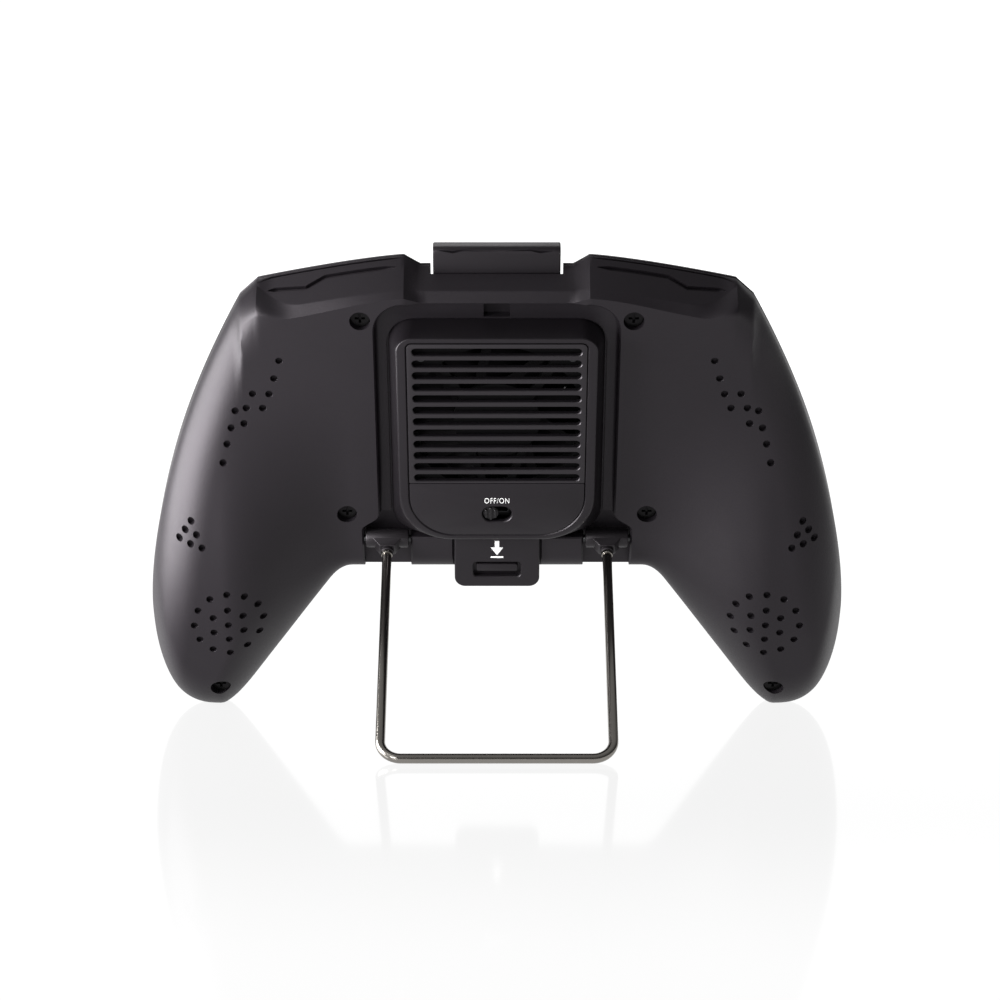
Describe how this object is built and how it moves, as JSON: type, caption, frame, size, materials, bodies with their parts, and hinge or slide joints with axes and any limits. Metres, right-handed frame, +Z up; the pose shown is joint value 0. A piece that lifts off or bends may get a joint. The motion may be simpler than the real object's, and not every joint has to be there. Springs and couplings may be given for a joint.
{
  "type": "mobile game controller",
  "caption": "Handheld phone game grip: hollow shell with palm grips, rear cooling fan under a slotted grille, sprung phone jaws and a fold-out wire stand.",
  "frame": {"origin": "on the floor under the middle of the standing object's bounding box", "axes": "+X to the right seen from behind, along the width over the grips; +Y forwards, towards the phone side; +Z up. The back panel leans 26.5 degrees from upright, its top towards -Y."},
  "size_m": [0.1546, 0.0686, 0.1067],
  "materials": {
    "shell_plastic": "fine spark texture",
    "bezel_plastic": "satin",
    "jaw_plastic": "satin",
    "hinge_plastic": "satin",
    "knob_plastic": "ribbed satin",
    "fan_plastic": "satin",
    "pad_rubber": "matte",
    "stand_wire": "polished nickel",
    "plain_steel": "plain",
    "black_steel": "black oxide",
    "board_laminate": "solder mask",
    "cell_wrap": "foil wrap"
  },
  "bodies": {
    "controller_body": {"rear_shell": "shell_plastic", "front_shell": "shell_plastic", "fan_bezel": "bezel_plastic", "fan_grille": "bezel_plastic", "switch_panel": "bezel_plastic", "fan_frame": "fan_plastic", "fan_screws": "plain_steel", "switch_body": "plain_steel", "control_board": "board_laminate", "charging_socket": "plain_steel", "battery_cell": "cell_wrap", "jaw_guides": "jaw_plastic", "hinge_pins": "plain_steel", "case_screws": "black_steel", "bed_pads": "pad_rubber"},
    "rotor": {"fan_rotor": "fan_plastic"},
    "stand": {"wire_stand": "stand_wire", "hinge_knuckle_left": "hinge_plastic", "hinge_knuckle_right": "hinge_plastic"},
    "top_jaw": {"upper_jaw": "jaw_plastic", "upper_jaw_pad": "pad_rubber"},
    "bottom_jaw": {"lower_jaw": "jaw_plastic", "lower_jaw_pad": "pad_rubber"},
    "knob": {"switch_knob": "knob_plastic"}
  },
  "joints": [
    {"name": "stand_fold", "type": "hinge", "parent": "controller_body", "child": "stand", "pos_m": [0, 0.01267, 0.03954], "axis": [-1, 0, 0], "range_deg": [0, 103.4]},
    {"name": "upper_jaw_slide", "type": "slide", "parent": "controller_body", "child": "top_jaw", "axis": [0, -0.4462, 0.8949], "range_m": [0, 0.008], "stiffness_N_per_m": 400, "springref_m": -0.012},
    {"name": "lower_jaw_slide", "type": "slide", "parent": "controller_body", "child": "bottom_jaw", "axis": [0, 0.4462, -0.8949], "range_m": [0, 0.009], "stiffness_N_per_m": 400, "springref_m": -0.012},
    {"name": "power_switch_slide", "type": "slide", "parent": "controller_body", "child": "knob", "axis": [1, 0, 0], "range_m": [0, 0.0027]},
    {"name": "fan_spin", "type": "hinge", "parent": "controller_body", "child": "rotor", "pos_m": [0, -0.00384, 0.06997], "axis": [0, 0.8949, 0.4462], "continuous": true}
  ]
}
